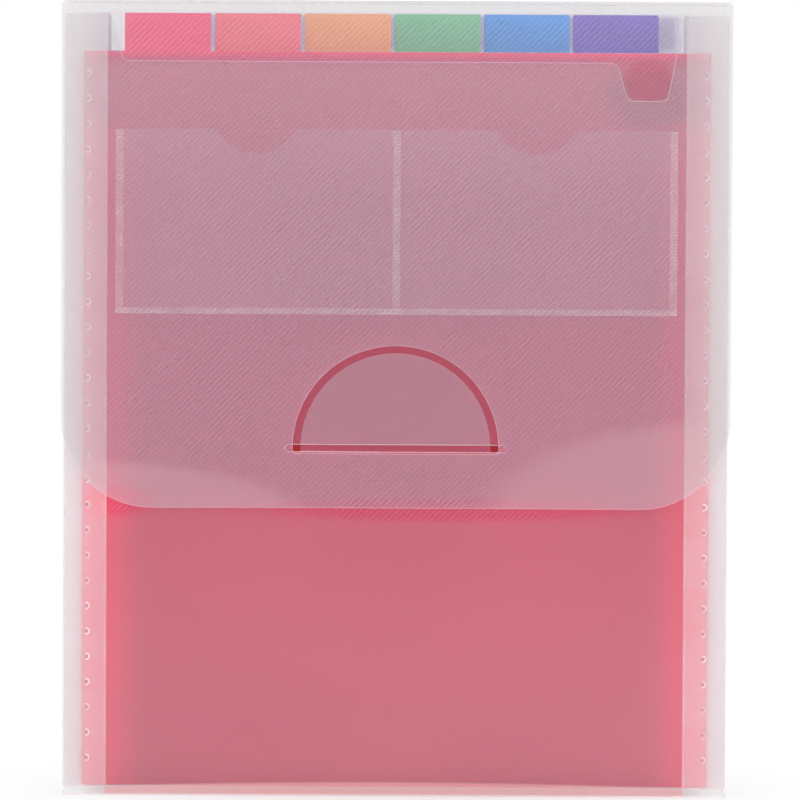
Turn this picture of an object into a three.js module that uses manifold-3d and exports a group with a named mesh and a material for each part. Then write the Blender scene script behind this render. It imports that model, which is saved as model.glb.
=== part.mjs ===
// Expanding file folder: a creased translucent sheet case with a tuck-in flap, coloured tab dividers
// and pleated side gussets. Millimetres, +Z up, front face towards -Y, origin under the middle of the case.

import * as THREE from 'three';
import { mergeVertices } from 'three/addons/utils/BufferGeometryUtils.js';
import Module from 'manifold-3d';

// Case
const CASE_WIDTH = 262;
const CASE_HEIGHT = 314;
const CASE_SHEET = 0.8;
const CREASE_LAND = 0.7; // from a crease's axis to the end of each panel that it joins
const CREASE_GAP = 0.3; // between the foot of the front panel and the bottom panel

// Pockets and dividers
const DIVIDER_SHEET = 0.5;
const POCKET_PITCH = 5;
const FRONT_POCKET_PITCH = 6.4; // wider, for the closure tongue that lies in it
const DIVIDER_INSET = 7; // edge of a divider inside the case's edge
const DIVIDER_LIFT = 3.5; // foot of the dividers above the case's underside
const SHOULDER_DROP = 20.3; // divider shoulders below the case's top
const TAB_RISE = 15;
const TAB_GAP = 1.4;
const TAB_LEFT_INSET = 16.6; // first tab from the divider's left edge
const TAB_RIGHT_INSET = 20.4; // last tab from the divider's right edge
const TAB_RADIUS = 0.8;
const DIVIDER_COLOURS = {
  red: 0xd8234f,
  coral: 0xf0606c,
  orange: 0xe59a55,
  green: 0x58a878,
  blue: 0x3d8fd6,
  purple: 0x7a62b8,
};

// Side gussets
const GUSSET_FILM = 0.5;
const GUSSET_DEPTH = 16.6; // from an outer fold to an inner fold
const GUSSET_INSET = 0.6; // outer folds inside the case's edge
const GUSSET_FOOT = 3;
const GUSSET_DROP = 5.6; // top of the gussets below the case's top
const FOLD_GAP = 0.3; // between two leaves of the film where they meet at a fold
const WELD_OVERRUN = 0.6; // film that stays flat past the divider's edge

// Front panel
const EAR_DROP = 5; // top of the ears below the case's top
const EAR_RADIUS = 3;
const EAR_WIDTH = 18.4; // at the top of an ear
const RECESS_DROP = 24; // floor of the tab recess below the case's top
const RECESS_SLANT = 5; // how far the recess's left side leans in
const RECESS_RADIUS = 3;
const NOTCH_DEPTH = 15;
const NOTCH_WIDTH = 15.4; // at its floor
const NOTCH_SLANT = 4.3; // how far the notch's left side leans in
const NOTCH_INSET = 24.8; // right end of the notch's floor from the case's edge
const NOTCH_RADIUS = 4;
const SLIT_SPARE = 6; // slit past each end of the tongue's root
const SLIT_WIDTH = 2.7;
const SLIT_ABOVE_EDGE = 23.6; // middle of the slit above the flap's free edge

// Card pockets on the front panel
const CARD_FILM = 0.4;
const CARD_WELD_THICKNESS = 0.5;
const CARD_WELD_WIDTH = 3;
const CARD_INSET = 20.5; // film's edge inside the case's edge
const CARD_HEIGHT = 72.5;
const CARD_DROP = 27; // film's top below the recess's floor
const THUMB_RADIUS = 18.2;
const THUMB_DEPTH = 9.5;

// Flap and its half-moon tongue
const FLAP_OVERHANG = 1;
const FLAP_DROP = 199.5;
const FLAP_CORNER_WIDTH = 36;
const FLAP_CORNER_HEIGHT = 36;
const FLAP_STANDOFF = 4.2; // clear space to the front panel at the top crease
const FLAP_TOE_GAP = 0.5; // clear space to the front panel at the free edge
const TONGUE_RADIUS = 37.5;
const TONGUE_CUT = 3; // width of the arc cut round the tongue
const TONGUE_CLEARANCE = 0.3;
const TONGUE_SLOPE = 0.5; // rise over depth where the tongue passes the slit
const TONGUE_LAND = 0.4; // tongue left in the flap's plane at its root

const CURVE_STEPS = 8;
const ARC_STEPS = 32;

// Places worked out from the sizes
const DIVIDER_NAMES = Object.keys(DIVIDER_COLOURS);
const DIVIDER_COUNT = DIVIDER_NAMES.length;
const halfWidth = CASE_WIDTH / 2;
const halfSheet = CASE_SHEET / 2;
const stackDepth = FRONT_POCKET_PITCH + POCKET_PITCH * DIVIDER_COUNT;
const topDepth = stackDepth + FLAP_STANDOFF + CASE_SHEET; // between the two top creases
const backY = topDepth / 2;
const flapCreaseY = -topDepth / 2;
const frontY = backY - stackDepth;
const topCreaseZ = CASE_HEIGHT - halfSheet;
const panelFoot = CASE_SHEET + CREASE_GAP;
const recessFloor = CASE_HEIGHT - RECESS_DROP;
const slitHeight = topCreaseZ - FLAP_DROP + SLIT_ABOVE_EDGE;
const cardHalf = halfWidth - CARD_INSET;
const cardTop = recessFloor - CARD_DROP;
const cardFoot = cardTop - CARD_HEIGHT;
const dividerHalf = halfWidth - DIVIDER_INSET;
const tabPitch = (2 * dividerHalf - TAB_LEFT_INSET - TAB_RIGHT_INSET + TAB_GAP) / DIVIDER_COUNT;
const flapTilt = Math.atan((FLAP_STANDOFF - FLAP_TOE_GAP) / FLAP_DROP);
const dividerY = (number) => frontY + FRONT_POCKET_PITCH + POCKET_PITCH * (number - 1);
const outerFoldX = halfWidth - GUSSET_INSET;
const innerFoldX = outerFoldX - GUSSET_DEPTH;

const wasm = await Module();
wasm.setup();

// A sheet outline is drawn in x and height; this stands it up with its thickness along Y.
const STAND_UP = new THREE.Matrix4().set(1, 0, 0, 0, 0, 0, -1, 0, 0, 1, 0, 0, 0, 0, 0, 1);
// A side profile is drawn in depth and height; this runs it along X.
const RUN_ACROSS = new THREE.Matrix4().set(0, 0, 1, 0, 1, 0, 0, 0, 0, 1, 0, 0, 0, 0, 0, 1);

function extrude(shape, depth, curveSegments = CURVE_STEPS) {
  return new THREE.ExtrudeGeometry(shape, { depth, bevelEnabled: false, curveSegments });
}

function uprightSheet(shape, thickness, curveSegments) {
  const geometry = extrude(shape, thickness, curveSegments);
  geometry.translate(0, 0, -thickness / 2);
  return geometry.applyMatrix4(STAND_UP);
}

// A closed outline through corners of [x, height, radius], each rounded by a curve.
function roundedShape(corners) {
  const shape = new THREE.Shape();
  corners.forEach(([x, y, radius], index) => {
    const corner = new THREE.Vector2(x, y);
    const before = new THREE.Vector2(...corners.at(index - 1));
    const after = new THREE.Vector2(...corners[(index + 1) % corners.length]);
    const toBefore = before.sub(corner).normalize();
    const toAfter = after.sub(corner).normalize();
    const halfAngle = Math.acos(toBefore.dot(toAfter)) / 2;
    const reach = radius / Math.tan(halfAngle);
    const start = corner.clone().addScaledVector(toBefore, reach);
    const end = corner.clone().addScaledVector(toAfter, reach);
    if (index === 0) {
      shape.moveTo(start.x, start.y);
    } else {
      shape.lineTo(start.x, start.y);
    }
    if (radius > 0) {
      shape.quadraticCurveTo(corner.x, corner.y, end.x, end.y);
    }
  });
  shape.closePath();
  return shape;
}

// The outline of a film of the given thickness that follows a path, mitred at its bends.
function filmOutline(path, thickness) {
  const points = path.map(([x, y]) => new THREE.Vector2(x, y));
  const sideOf = (from, to) => {
    const along = to.clone().sub(from).normalize();
    return new THREE.Vector2(-along.y, along.x);
  };
  const offsets = points.map((point, index) => {
    const sides = [];
    if (index > 0) {
      sides.push(sideOf(points[index - 1], point));
    }
    if (index < points.length - 1) {
      sides.push(sideOf(point, points[index + 1]));
    }
    const mitre = sides.reduce((sum, side) => sum.add(side), new THREE.Vector2()).normalize();
    return mitre.multiplyScalar(thickness / 2 / mitre.dot(sides[0]));
  });
  const near = points.map((point, index) => point.clone().sub(offsets[index]));
  const far = points.map((point, index) => point.clone().add(offsets[index]));
  return new THREE.Shape([...near, ...far.reverse()]);
}

function toSolid(geometry) {
  const bare = geometry.clone();
  bare.deleteAttribute('normal');
  bare.deleteAttribute('uv');
  const merged = mergeVertices(bare, 1e-5);
  return new wasm.Manifold(new wasm.Mesh({
    numProp: 3,
    vertProperties: new Float32Array(merged.attributes.position.array),
    triVerts: new Uint32Array(merged.index.array),
  }));
}

function fromSolid(solid) {
  const mesh = solid.getMesh();
  const geometry = new THREE.BufferGeometry();
  geometry.setAttribute('position', new THREE.BufferAttribute(mesh.vertProperties, 3));
  geometry.setIndex(new THREE.BufferAttribute(mesh.triVerts, 1));
  geometry.computeVertexNormals();
  return geometry;
}

const frosted = (color) => new THREE.MeshStandardMaterial({
  color,
  roughness: 0.42,
  metalness: 0,
  transparent: true,
  opacity: 0.6,
});
const CLEAR_FROST = 0xdcdade;

function piece(name, geometry, color, position = [0, 0, 0]) {
  const mesh = new THREE.Mesh(geometry, frosted(color));
  mesh.name = name;
  mesh.position.set(...position);
  return mesh;
}

function backPanel() {
  const top = topCreaseZ - CREASE_LAND;
  const shape = roundedShape([
    [-halfWidth, 0, 0],
    [halfWidth, 0, 0],
    [halfWidth, top, 0],
    [-halfWidth, top, 0],
  ]);
  return piece('back_panel', uprightSheet(shape, CASE_SHEET), CLEAR_FROST, [0, backY, 0]);
}

function bottomPanel() {
  const depth = stackDepth;
  const geometry = new THREE.BoxGeometry(CASE_WIDTH, depth, CASE_SHEET);
  const middleY = backY - halfSheet - depth / 2;
  return piece('bottom_panel', geometry, CLEAR_FROST, [0, middleY, halfSheet]);
}

function topPanel() {
  const depth = topDepth - 2 * CREASE_LAND;
  const geometry = new THREE.BoxGeometry(CASE_WIDTH, depth, CASE_SHEET);
  return piece('top_panel', geometry, CLEAR_FROST, [0, 0, topCreaseZ]);
}

function slitHole() {
  const round = SLIT_WIDTH / 2;
  const reach = TONGUE_RADIUS + SLIT_SPARE - round;
  const hole = new THREE.Path();
  hole.moveTo(-reach, slitHeight - round);
  hole.lineTo(reach, slitHeight - round);
  hole.absarc(reach, slitHeight, round, -Math.PI / 2, Math.PI / 2, false);
  hole.lineTo(-reach, slitHeight + round);
  hole.absarc(-reach, slitHeight, round, Math.PI / 2, 1.5 * Math.PI, false);
  return hole;
}

function frontPanel() {
  const earTop = CASE_HEIGHT - EAR_DROP;
  const notchFloor = recessFloor - NOTCH_DEPTH;
  const notchRight = halfWidth - NOTCH_INSET;
  const notchLeft = notchRight - NOTCH_WIDTH;
  const earSide = halfWidth - EAR_WIDTH;
  const shape = roundedShape([
    [-halfWidth, panelFoot, 0],
    [halfWidth, panelFoot, 0],
    [halfWidth, earTop, EAR_RADIUS],
    [earSide, earTop, EAR_RADIUS],
    [notchRight, notchFloor, NOTCH_RADIUS],
    [notchLeft, notchFloor, NOTCH_RADIUS],
    [notchLeft - NOTCH_SLANT, recessFloor, NOTCH_RADIUS],
    [RECESS_SLANT - earSide, recessFloor, RECESS_RADIUS],
    [-earSide, earTop, EAR_RADIUS],
    [-halfWidth, earTop, EAR_RADIUS],
  ]);
  shape.holes.push(slitHole());
  return piece('front_panel', uprightSheet(shape, CASE_SHEET), CLEAR_FROST, [0, frontY, 0]);
}

// The film over both card pockets: a plain sheet with a round thumb dip over each pocket.
function cardFilm() {
  const shape = new THREE.Shape();
  shape.moveTo(-cardHalf, cardFoot);
  shape.lineTo(cardHalf, cardFoot);
  shape.lineTo(cardHalf, cardTop);
  const rise = THUMB_RADIUS - THUMB_DEPTH;
  const dipAngle = Math.acos(rise / THUMB_RADIUS);
  for (const centre of [cardHalf / 2, -cardHalf / 2]) {
    const start = -Math.PI / 2 + dipAngle;
    shape.absarc(centre, cardTop + rise, THUMB_RADIUS, start, -Math.PI / 2 - dipAngle, true);
  }
  shape.lineTo(-cardHalf, cardTop);
  shape.closePath();
  const y = frontY - halfSheet - CARD_WELD_THICKNESS - CARD_FILM / 2;
  return piece('card_pocket_film', uprightSheet(shape, CARD_FILM), CLEAR_FROST, [0, y, 0]);
}

// The welds that join the film to the front panel: two sides, a middle bar and a foot.
function cardWelds() {
  const half = cardHalf;
  const bar = CARD_WELD_WIDTH;
  const step = cardFoot + bar;
  const shape = new THREE.Shape([
    [-half, cardFoot],
    [half, cardFoot],
    [half, cardTop],
    [half - bar, cardTop],
    [half - bar, step],
    [bar / 2, step],
    [bar / 2, cardTop],
    [-bar / 2, cardTop],
    [-bar / 2, step],
    [bar - half, step],
    [bar - half, cardTop],
    [-half, cardTop],
  ].map(([x, height]) => new THREE.Vector2(x, height)));
  const y = frontY - halfSheet - CARD_WELD_THICKNESS / 2;
  const geometry = uprightSheet(shape, CARD_WELD_THICKNESS);
  return piece('card_pocket_welds', geometry, 0xf2e4e8, [0, y, 0]);
}

function divider(number) {
  const half = dividerHalf;
  const left = TAB_LEFT_INSET - half + tabPitch * (number - 1);
  const right = left + tabPitch - TAB_GAP;
  const shoulder = CASE_HEIGHT - SHOULDER_DROP;
  const tabTop = shoulder + TAB_RISE;
  const shape = roundedShape([
    [-half, DIVIDER_LIFT, 0],
    [half, DIVIDER_LIFT, 0],
    [half, shoulder, TAB_RADIUS],
    [right, shoulder, 0],
    [right, tabTop, TAB_RADIUS],
    [left, tabTop, TAB_RADIUS],
    [left, shoulder, 0],
    [-half, shoulder, TAB_RADIUS],
  ]);
  const colour = DIVIDER_NAMES[number - 1];
  const geometry = uprightSheet(shape, DIVIDER_SHEET);
  return piece(`divider_${colour}`, geometry, DIVIDER_COLOURS[colour], [0, dividerY(number), 0]);
}

// Middle of the film where it is welded to the back of a divider, and where it turns behind that weld.
const weldY = (number) => dividerY(number) + (DIVIDER_SHEET + GUSSET_FILM) / 2;
const turnY = (number) => weldY(number) + GUSSET_FILM + FOLD_GAP;
const frontFlangeY = frontY + halfSheet + GUSSET_FILM / 2;
const backFlangeY = backY - halfSheet - GUSSET_FILM / 2;

// Plan path of the film in one pocket, counted from the front, on the +X side.
function pleatPath(pocket) {
  const weldEnd = dividerHalf + WELD_OVERRUN;
  if (pocket === 1) {
    return [
      [outerFoldX, frontFlangeY + GUSSET_FILM + FOLD_GAP],
      [weldEnd, weldY(1)],
      [innerFoldX, weldY(1)],
    ];
  }
  if (pocket === DIVIDER_COUNT + 1) {
    return [
      [innerFoldX, turnY(DIVIDER_COUNT)],
      [outerFoldX, backFlangeY - GUSSET_FILM - FOLD_GAP],
    ];
  }
  return [
    [innerFoldX, turnY(pocket - 1)],
    [outerFoldX, (turnY(pocket - 1) + weldY(pocket)) / 2],
    [weldEnd, weldY(pocket)],
    [innerFoldX, weldY(pocket)],
  ];
}

function gussetStrip(name, path, side) {
  const mirrored = path.map(([x, y]) => [side * x, y]);
  const geometry = extrude(filmOutline(mirrored, GUSSET_FILM), CASE_HEIGHT - GUSSET_DROP - GUSSET_FOOT);
  return piece(name, geometry, CLEAR_FROST, [0, 0, GUSSET_FOOT]);
}

function gusset(sideName, side) {
  const flange = (y) => [[innerFoldX, y], [outerFoldX, y]];
  const group = new THREE.Group();
  group.add(gussetStrip(`front_flange_${sideName}`, flange(frontFlangeY), side));
  for (let pocket = 1; pocket <= DIVIDER_COUNT + 1; pocket += 1) {
    group.add(gussetStrip(`pleat_${sideName}_${pocket}`, pleatPath(pocket), side));
  }
  group.add(gussetStrip(`back_flange_${sideName}`, flange(backFlangeY), side));
  return group;
}

// Middle of the flap's sheet at a height, and the tongue's bends where it passes through the slit.
const flapY = (height) => flapCreaseY + (topCreaseZ - height) * Math.tan(flapTilt);
const tongueFrontY = flapY(slitHeight);
const tongueBackY = frontY + CASE_SHEET + TONGUE_CLEARANCE;
const tongueBendZ = slitHeight - (frontY - tongueFrontY) * TONGUE_SLOPE;
const tongueRootZ = tongueBendZ - TONGUE_LAND;

function flapWindow() {
  const alongFlap = (height) => (height - topCreaseZ) / Math.cos(flapTilt);
  const radius = TONGUE_RADIUS + TONGUE_CUT;
  const round = TONGUE_CUT / 2;
  const foot = alongFlap(tongueRootZ - TONGUE_CLEARANCE);
  const middle = alongFlap(slitHeight);
  const hole = new THREE.Path();
  hole.moveTo(radius - round, foot);
  hole.quadraticCurveTo(radius, foot, radius, foot + round);
  hole.absarc(0, Math.max(middle, foot + round), radius, 0, Math.PI, false);
  hole.lineTo(-radius, foot + round);
  hole.quadraticCurveTo(-radius, foot, round - radius, foot);
  hole.closePath();
  return hole;
}

function flap() {
  const half = halfWidth + FLAP_OVERHANG;
  const foot = -FLAP_DROP;
  const cornerX = half - FLAP_CORNER_WIDTH;
  const cornerZ = foot + FLAP_CORNER_HEIGHT;
  const quarter = Math.PI / 2;
  const shape = new THREE.Shape();
  shape.moveTo(half, -CREASE_LAND);
  shape.lineTo(-half, -CREASE_LAND);
  shape.lineTo(-half, cornerZ);
  shape.absellipse(-cornerX, cornerZ, FLAP_CORNER_WIDTH, FLAP_CORNER_HEIGHT, 2 * quarter, 3 * quarter);
  shape.lineTo(cornerX, foot);
  shape.absellipse(cornerX, cornerZ, FLAP_CORNER_WIDTH, FLAP_CORNER_HEIGHT, 3 * quarter, 4 * quarter);
  shape.closePath();
  shape.holes.push(flapWindow());
  const hanging = new THREE.Group();
  hanging.position.set(0, flapCreaseY, topCreaseZ);
  hanging.rotation.x = flapTilt;
  hanging.add(piece('flap', uprightSheet(shape, CASE_SHEET, ARC_STEPS), CLEAR_FROST));
  return hanging;
}

// The half-moon tongue: rooted in the flap, it bends back through the slit and stands behind the panel.
function closureTongue() {
  const behindZ = slitHeight + (tongueBackY - frontY) * TONGUE_SLOPE;
  const top = slitHeight + TONGUE_RADIUS;
  const profile = filmOutline([
    [tongueFrontY, tongueRootZ],
    [tongueFrontY, tongueBendZ],
    [tongueBackY, behindZ],
    [tongueBackY, top],
  ], CASE_SHEET);
  const width = 2 * TONGUE_RADIUS;
  const strip = extrude(profile, width).translate(0, 0, -TONGUE_RADIUS).applyMatrix4(RUN_ACROSS);
  const outline = new THREE.Shape();
  outline.moveTo(-TONGUE_RADIUS, tongueRootZ - CASE_SHEET);
  outline.lineTo(TONGUE_RADIUS, tongueRootZ - CASE_SHEET);
  outline.absarc(0, slitHeight, TONGUE_RADIUS, 0, Math.PI, false);
  outline.closePath();
  const cutterDepth = 2 * (tongueBackY - tongueFrontY + CASE_SHEET);
  const cutter = uprightSheet(outline, cutterDepth, ARC_STEPS).translate(0, frontY, 0);
  const solid = toSolid(strip).intersect(toSolid(cutter));
  return piece('closure_tongue', fromSolid(solid), CLEAR_FROST);
}

const expandingFile = new THREE.Group();
expandingFile.add(backPanel(), bottomPanel(), topPanel(), frontPanel(), cardFilm(), cardWelds());
for (let number = 1; number <= DIVIDER_COUNT; number += 1) {
  expandingFile.add(divider(number));
}
expandingFile.add(gusset('left', -1), gusset('right', 1), flap(), closureTongue());

export default expandingFile;
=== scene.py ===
"""Looks for an expanding file folder: frosted case, hatched flap, coloured tab dividers, pleated gussets."""

import math

import bmesh
import bpy
from bpy.props import FloatProperty, FloatVectorProperty, PointerProperty
from mathutils import Matrix, Vector


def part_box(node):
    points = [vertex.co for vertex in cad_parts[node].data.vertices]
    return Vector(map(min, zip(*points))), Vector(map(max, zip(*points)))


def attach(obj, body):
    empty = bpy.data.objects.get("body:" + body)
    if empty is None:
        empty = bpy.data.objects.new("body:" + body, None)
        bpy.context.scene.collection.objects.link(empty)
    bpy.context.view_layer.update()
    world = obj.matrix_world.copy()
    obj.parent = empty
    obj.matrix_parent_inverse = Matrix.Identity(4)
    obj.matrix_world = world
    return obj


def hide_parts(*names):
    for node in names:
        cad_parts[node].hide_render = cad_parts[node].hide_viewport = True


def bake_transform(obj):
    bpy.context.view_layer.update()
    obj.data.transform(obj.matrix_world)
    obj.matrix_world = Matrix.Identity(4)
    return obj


bl_info = {
    "name": "Expanding file folder",
    "version": (1, 0, 0),
    "blender": (4, 5, 0),
    "location": "3D View > Sidebar > File folder",
    "description": "Dresses the packed expanding file with sheets, films, welds and studio light",
    "category": "Object",
}

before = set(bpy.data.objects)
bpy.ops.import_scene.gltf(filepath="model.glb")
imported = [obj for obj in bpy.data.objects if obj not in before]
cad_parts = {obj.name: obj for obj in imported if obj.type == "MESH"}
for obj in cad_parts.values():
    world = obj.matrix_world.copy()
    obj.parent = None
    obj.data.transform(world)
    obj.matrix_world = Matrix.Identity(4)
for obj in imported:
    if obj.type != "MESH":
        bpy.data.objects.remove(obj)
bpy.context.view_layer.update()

MM = 0.001
DIVIDERS = ("red", "coral", "orange", "green", "blue", "purple")
SIDES = {"left": -1, "right": 1}
# Bodies from front to back; pocket k lies between stack k - 1 and stack k.
STACK = ["case_front"] + [f"{colour}_divider" for colour in DIVIDERS] + ["case_back"]


def mm(*values):
    return tuple(value * MM for value in values)


def node_middle(node):
    low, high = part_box(node)
    return (low + high) / 2


def node_size(node):
    low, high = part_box(node)
    return high - low


FRONT_Y = node_middle("front_panel").y
BACK_Y = node_middle("back_panel").y
TOP_Z = node_middle("top_panel").z
HALF_WIDTH = node_size("back_panel").x / 2
SHEET = node_size("back_panel").y
FLAP_CREASE_Y = -BACK_Y
FOLD_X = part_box("front_flange_right")[1].x
INNER_FOLD_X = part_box("front_flange_right")[0].x
FILM = node_size("front_flange_right").y
GUSSET_FOOT, GUSSET_TOP = (corner.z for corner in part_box("front_flange_right"))
DIVIDER_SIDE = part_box("divider_red")[1].x
TAB_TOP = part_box("divider_red")[1].z

# Shapes of the pieces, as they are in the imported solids.
SLIT_Z, SLIT_HALF, SLIT_ROUND = mm(137.7, 43.5, 1.35)
FLAP_DROP, FLAP_CORNER = mm(199.5, 36)
WINDOW_RADIUS, WINDOW_FOOT, WINDOW_ROUND = mm(40.5, 135.75, 1.5)
TONGUE_RADIUS = 37.5 * MM
TONGUE_BEND = mm(0.4, 2.3)
EAR_X, EAR_ROUND = mm(112.6, 3)
RECESS_Z, RECESS_LEFT = mm(290, 107.6)
NOTCH_Z, NOTCH_TOP, NOTCH_LEFT, NOTCH_RIGHT, NOTCH_ROUND = mm(275, 86.5, 90.8, 106.2, 4)
DIP_RADIUS, DIP_DEPTH = mm(18.2, 9.5)
FIRST_TAB, TAB_PITCH, TAB_WIDTH, TAB_RISE, TAB_ROUND = mm(-107.4, 35.4, 34, 15, 0.8)
# Cells that a sheet is cut into, finer where it bends.
BROAD_CELL, DIVIDER_CELL, FLAP_CELL, TONGUE_CELL = mm(20, 12, 6, 1.2)


def oval(x, z, reach_x, reach_z, softness):
    """A soft oval on a standing sheet, in metres from the frame's origin, as the patch group takes it."""
    return {"Centre X": x, "Centre Z": z, "Reach X": reach_x, "Reach Z": reach_z, "Softness": softness}


# Where the flap's lower corners stand off the panel and the flap is painted paler, as light comes through
# from behind; the lift reaches a little further than the pale oval.
LIFTED_ZONES = (oval(-0.127, 0.112, 0.088, 0.02, 0.1), oval(0.134, 0.112, 0.096, 0.037, 0.1))
LIFT_ACROSS, LIFT_UP = 1.15, 1.5
# Places under the flap's free edge where the flap holds the front panel against the stack, painted with a
# contact shadow that thins the panel's veil.
PRESSED_SHADOW_ZONES = (oval(0.02, 0.1135, 0.075, 0.0045, 0.45), oval(-0.109, 0.1165, 0.014, 0.006, 0.5))
# The hollow behind the thumb notch, where the first divider stands in the shade.
NOTCH_SHADE = oval(0.0985, 0.2775, 0.016, 0.012, 0.5)
# The thumb notch itself, where the flap lies over the first divider alone.
NOTCH_OPENING = oval(0.0985, 0.2825, 0.0095, 0.0085, 0.3)
HALF_MOON = {"Inner": TONGUE_RADIUS, "Outer": WINDOW_RADIUS, "Foot": SLIT_Z, "Slit": SLIT_ROUND}
HALF_MOON_SOFT = 0.4 * MM
# Height of the stack's foot in the middle, how much lower it hangs at the folds, and its soft edge.
FOOT_MIDDLE, FOOT_ARCH, FOOT_SOFT = mm(6.2, 1.8, 1.2)
# Spans over which a look fades in or out, sideways from the middle or upwards from the floor.
NEAR_FOLD_SPAN = (88 * MM, INNER_FOLD_X)
EAR_SPAN = mm(100, 112)
EAR_RISE = mm(284, 294)
FLAP_SHADE_RISE = mm(50, 114)
LOW_VEIL_RISE = mm(8, 70)
# Heights over which the flap is painted lighter towards its top, as light comes through from behind.
UPPER_LIGHT_RISE = mm(225, 285)
UPPER_LIGHT_END = mm(286, 292)
FLAP_VEIL_RISE = mm(170, 280)
ABOVE_TABS = (TAB_TOP, TAB_TOP + 1.5 * MM)
# Heights and spans of the dividers' painted light, where light comes through in the tab and beside the
# folds.
IN_TAB = (TAB_TOP - 18.5 * MM, TAB_TOP - 15 * MM)
BESIDE_SPAN = mm(98, 116)
BESIDE_END = mm(258, 270)
DIVIDER_EDGE = (DIVIDER_SIDE - 2 * MM, DIVIDER_SIDE + 0.4 * MM)
GUSSET_SPAN = (121 * MM, FOLD_X)
GUSSET_RISE = mm(280, 296)
GUSSET_CREST = (INNER_FOLD_X + 0.2 * MM, INNER_FOLD_X + 1.3 * MM)
MARGIN_STEP = (INNER_FOLD_X - 0.4 * MM, INNER_FOLD_X + 0.8 * MM)
MARGIN_SLOPE = (INNER_FOLD_X, FOLD_X - 4 * MM)
TAB_SHADE_LEFT = mm(-88, -74)
TAB_SHADE_RIGHT = mm(108, 116)
TAB_SHADE_FOOT = (TAB_TOP - 19 * MM, TAB_TOP - 12 * MM)
TAB_SHADE_TOP = (TAB_TOP - 2 * MM, TAB_TOP + 1 * MM)
# Where a noise texture's values mostly lie, and where those of a weld's mottling are cut off.
NOISE = (0.3, 0.7)
WELD_NOISE = (0.35, 0.65)
# Least and greatest roughness of the films.
SHEET_ROUGH = (0.36, 0.5)
CARD_ROUGH = (0.14, 0.28)
DIVIDER_ROUGH = (0.38, 0.52)
GUSSET_ROUGH = (0.26, 0.4)
WELD_ROUGH = (0.3, 0.45)
EDGE_ROUGH = (0.3, 0.42)
PLASTIC_IOR = 1.49
# A frosted film passes most of the light that it scatters, so it shades less than it veils.
SHADOW_CHANGE = -0.7
# Sockets of a colour mix node.
MIX_FIRST, MIX_SECOND, MIX_RESULT = 6, 7, 2


def length(name, description, default):
    return FloatProperty(name=name, description=description, default=default, unit="LENGTH", precision=5)


def colour(name, description, default):
    return FloatVectorProperty(
        name=name, description=description, default=default, size=3, min=0, max=1, subtype="COLOR"
    )


def share(name, description, default):
    return FloatProperty(name=name, description=description, default=default, min=0, max=1, subtype="FACTOR")


class FolderSizes(bpy.types.PropertyGroup):
    """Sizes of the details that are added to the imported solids."""

    edge_round: length("Edge round", "Rounding of a sheet's cut edge", 0.15 * MM)
    lip: length("Lip", "Width of a punched edge's white lip", 0.3 * MM)
    hatch_pitch: length("Hatch pitch", "Sideways step of the diagonal lines", 2.4 * MM)
    corner_lift: length("Corner lift", "How far the flap's lower corners stand off", 2.6 * MM)
    divider_bow: length("Divider bow", "Bow of a divider in its middle", 0.7 * MM)
    dot_pitch: length("Weld dot pitch", "Step of the dots in the side welds", 10 * MM)
    dot_radius: length("Weld dot radius", "Radius of a weld dot's ring", 1.2 * MM)
    rib_pitch: length("Weld rib pitch", "Step of the ribs in the card welds", 1.25 * MM)


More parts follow.
